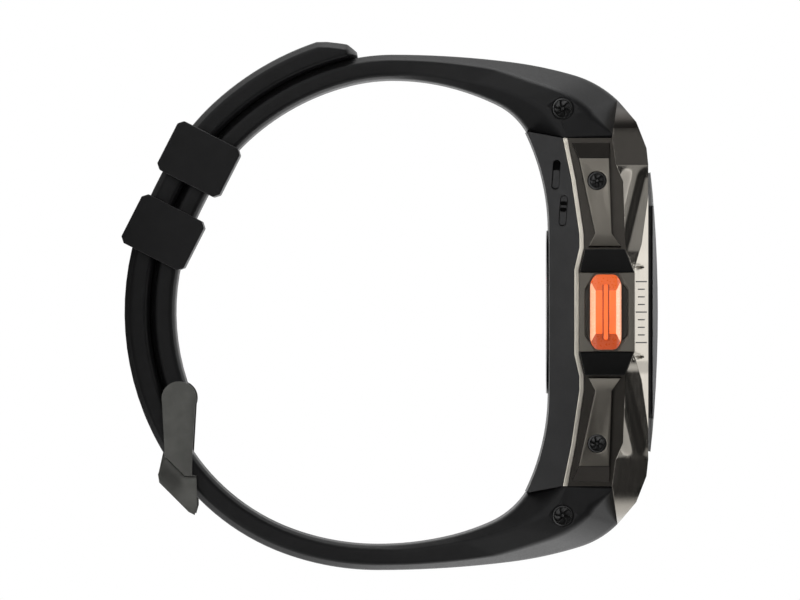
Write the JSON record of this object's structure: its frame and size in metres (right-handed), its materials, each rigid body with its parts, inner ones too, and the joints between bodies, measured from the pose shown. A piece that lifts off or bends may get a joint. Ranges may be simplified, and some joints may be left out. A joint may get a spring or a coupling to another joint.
{
  "type": "gps running watch",
  "caption": "Rugged GPS running watch with a metal bezel, an orange side key, a turning crown and a buckled rubber strap closed in a loop with two keepers.",
  "frame": {"origin": "centre of the flat sensor plate on the case back, where the watch sits on the wrist", "axes": "+Z out of the display, +Y to 12 o'clock along the strap, +X to 3 o'clock, the crown side"},
  "size_m": [0.044, 0.0626, 0.0636],
  "materials": {
    "case_polymer": "fine satin polymer, dark grey",
    "gunmetal": "satin warm gunmetal coating",
    "bezel_metal": "polished and brushed warm titanium grey",
    "trim_metal": "pale champagne satin",
    "black_plastic": "semi gloss black",
    "black_screw": "black oxide",
    "strap_rubber": "matte black moulded rubber",
    "seal_rubber": "smooth black rubber",
    "buckle_metal": "satin olive grey coating",
    "orange_key": "orange anodised",
    "cover_glass": "clear toughened glass over a dark display",
    "display": "dark display panel",
    "sensor_gloss": "gloss black",
    "sensor_lens": "dark red infrared window",
    "steel": "plain stainless steel",
    "pcb": "green solder mask",
    "shield": "tinned shield can",
    "cell": "pouch cell foil",
    "dark_part": "dark moulded part",
    "gold": "gold plated"
  },
  "bodies": {
    "watch": {"back_case": "case_polymer", "trim_ring": "trim_metal", "mid_case": "gunmetal", "bezel": "bezel_metal", "display_gasket": "seal_rubber", "cover_glass": "cover_glass", "display_panel": "display", "chassis": "shield", "mainboard": "pcb", "shield_cans": "shield", "battery": "cell", "speaker": "dark_part", "microphone": "gold", "vibration_motor": "steel", "gps_antenna": "gold", "sensor_plate": "sensor_gloss", "sensor_window": "sensor_lens", "sensor_board": "pcb", "charging_pins": "gold", "case_seal": "seal_rubber", "port_meshes": "black_screw", "back_screws": "steel", "key_housing": "gunmetal", "crown_housing": "gunmetal", "left_inserts": "black_plastic", "right_inserts": "black_plastic", "left_guards": "gunmetal", "right_guards": "gunmetal", "guard_screws": "black_screw", "strap_screws": "black_screw", "strap_tubes": "steel", "strap_upper": "strap_rubber", "strap_lower": "strap_rubber", "buckle_bar": "steel", "key_switch": "dark_part", "crown_encoder": "dark_part"},
    "action_key_body": {"action_key": "orange_key", "key_stem": "steel", "key_seals": "seal_rubber", "key_clip": "steel"},
    "crown_plunger": {"crown_sleeve": "steel", "crown_seal": "seal_rubber"},
    "crown": {"crown_knob": "bezel_metal", "crown_cap": "orange_key", "crown_stem": "steel"},
    "buckle": {"buckle_frame": "buckle_metal"},
    "tongue": {"buckle_tongue": "buckle_metal"},
    "keeper_fixed_end": {"keeper_lower": "strap_rubber"},
    "keeper_free_end": {"keeper_upper": "strap_rubber"}
  },
  "joints": [
    {"name": "key_press", "type": "slide", "parent": "watch", "child": "action_key_body", "axis": [1, 0, 0], "range_m": [0, 0.0005], "stiffness_N_per_m": 400, "springref_m": -0.0005},
    {"name": "crown_press", "type": "slide", "parent": "watch", "child": "crown_plunger", "axis": [-1, 0, 0], "range_m": [0, 0.0005], "stiffness_N_per_m": 400, "springref_m": -0.0005},
    {"name": "crown_turn", "type": "hinge", "parent": "crown_plunger", "child": "crown", "pos_m": [0.02, 0, 0.00695], "axis": [1, 0, 0], "continuous": true},
    {"name": "buckle_fold", "type": "hinge", "parent": "watch", "child": "buckle", "pos_m": [0, -0.01025, -0.04358], "axis": [1, 0, 0], "range_deg": [0, 6]},
    {"name": "tongue_fold", "type": "hinge", "parent": "watch", "child": "tongue", "pos_m": [0, -0.01025, -0.04358], "axis": [1, 0, 0], "range_deg": [0, 6]},
    {"name": "lower_keeper_slide", "type": "slide", "parent": "watch", "child": "keeper_fixed_end", "axis": [0, 0.891, 0.454], "range_m": [-0.0006, 0.0006]},
    {"name": "upper_keeper_slide", "type": "slide", "parent": "watch", "child": "keeper_free_end", "axis": [0, 0.891, 0.454], "range_m": [-0.0006, 0.0006]}
  ],
  "couplings": [
    {"joint": "tongue_fold", "follows": "buckle_fold", "ratio": 1}
  ]
}
